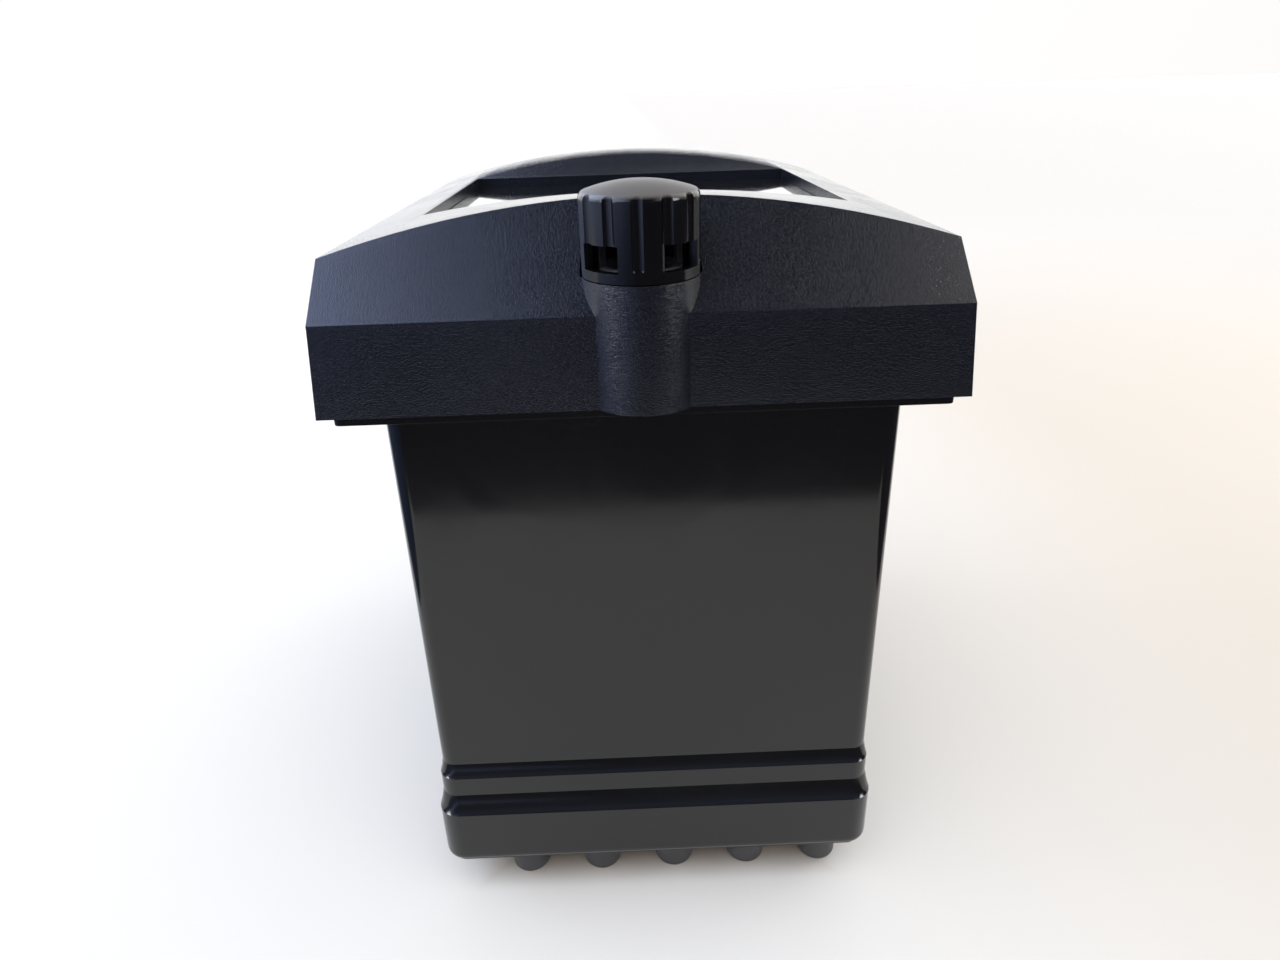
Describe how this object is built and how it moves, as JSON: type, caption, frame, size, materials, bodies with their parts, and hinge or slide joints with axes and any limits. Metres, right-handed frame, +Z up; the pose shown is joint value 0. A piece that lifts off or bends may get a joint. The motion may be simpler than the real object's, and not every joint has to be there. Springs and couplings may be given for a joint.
{
  "type": "canister filter",
  "caption": "Tall box-shaped canister filter with an overhanging arched hood, front vent knob, rear hose taps, stacked media baskets and a pump in the head.",
  "frame": {"origin": "on the floor, in the middle of the whole filter's box, hose tails included", "axes": "+Z up, -Y towards the narrow front with the tower and vent knob, +X to the right seen from the front"},
  "size_m": [0.2656, 0.4344, 0.3862],
  "materials": {
    "tub_plastic": "smooth semi-gloss moulded plastic",
    "grained_hood": "fine leather-grained moulded plastic",
    "panel_gloss": "smooth glossy moulded plastic",
    "knob_gloss": "polished moulded plastic",
    "core_plastic": "matt moulded plastic",
    "basket_plastic": "satin moulded plastic",
    "foot_rubber": "matt rubber",
    "seal_rubber": "soft matt rubber",
    "steel": "stainless steel",
    "core_steel": "laminated electrical steel",
    "coil_copper": "enamelled copper windings",
    "magnet_ferrite": "plastic-bonded ferrite",
    "impeller_plastic": "white acetal",
    "ceramic_media": "porous unglazed ceramic",
    "blue_foam": "open-cell filter foam",
    "white_floss": "fine filter floss"
  },
  "bodies": {
    "canister": {"canister_tub": "tub_plastic", "base_plate": "tub_plastic", "rubber_feet": "foot_rubber", "base_screws": "steel", "lower_basket": "basket_plastic", "middle_basket": "basket_plastic", "upper_basket": "basket_plastic", "bio_rings": "ceramic_media", "coarse_sponge": "blue_foam", "fine_pad": "white_floss", "divider_wall": "basket_plastic", "prefilter_foam": "blue_foam"},
    "head": {"hood": "grained_hood", "recess_panel": "panel_gloss", "lid_pan": "tub_plastic", "lid_seal": "seal_rubber", "hood_screws": "steel", "motor_housing": "basket_plastic", "stator_core": "core_steel", "stator_coils": "coil_copper", "motor_screws": "steel", "pump_shaft": "ceramic_media", "upper_bush": "seal_rubber", "lower_bush": "seal_rubber", "pump_cover": "basket_plastic", "pump_gasket": "seal_rubber", "pump_screws": "steel", "inlet_duct": "basket_plastic", "outlet_duct": "basket_plastic", "inlet_tap": "tub_plastic", "outlet_tap": "tub_plastic", "inlet_hose_nut": "basket_plastic", "outlet_hose_nut": "basket_plastic", "vent_core": "core_plastic", "vent_o_ring": "seal_rubber", "vent_pipe": "seal_rubber", "cable_gland": "tub_plastic", "gland_nut": "tub_plastic", "motor_lead": "seal_rubber"},
    "rotor": {"rotor_magnet": "magnet_ferrite", "impeller": "impeller_plastic"},
    "vent": {"vent_knob": "knob_gloss"},
    "inlet_valve": {"inlet_ball": "impeller_plastic", "inlet_lever": "basket_plastic"},
    "outlet_valve": {"outlet_ball": "impeller_plastic", "outlet_lever": "basket_plastic"},
    "left_lock": {"left_lock_bar": "basket_plastic"},
    "right_lock": {"right_lock_bar": "basket_plastic"}
  },
  "joints": [
    {"name": "head_lift", "type": "slide", "parent": "canister", "child": "head", "axis": [0, 0, 1], "range_m": [0, 0.12]},
    {"name": "vent_turn", "type": "hinge", "parent": "head", "child": "vent", "pos_m": [0, -0.19403, 0.36], "axis": [0, 0, 1], "range_deg": [0, 45]},
    {"name": "rotor_spin", "type": "hinge", "parent": "head", "child": "rotor", "pos_m": [0, -0.04063, 0.32], "axis": [0, 0, 1], "continuous": true},
    {"name": "inlet_tap_turn", "type": "hinge", "parent": "head", "child": "inlet_valve", "pos_m": [-0.06, 0.16323, 0.326], "axis": [0, 0, 1], "range_deg": [0, 90]},
    {"name": "outlet_tap_turn", "type": "hinge", "parent": "head", "child": "outlet_valve", "pos_m": [0.06, 0.16323, 0.326], "axis": [0, 0, -1], "range_deg": [0, 90]},
    {"name": "left_lock_slide", "type": "slide", "parent": "head", "child": "left_lock", "axis": [0, 1, 0], "range_m": [0, 0.022]},
    {"name": "right_lock_slide", "type": "slide", "parent": "head", "child": "right_lock", "axis": [0, 1, 0], "range_m": [0, 0.022]}
  ]
}
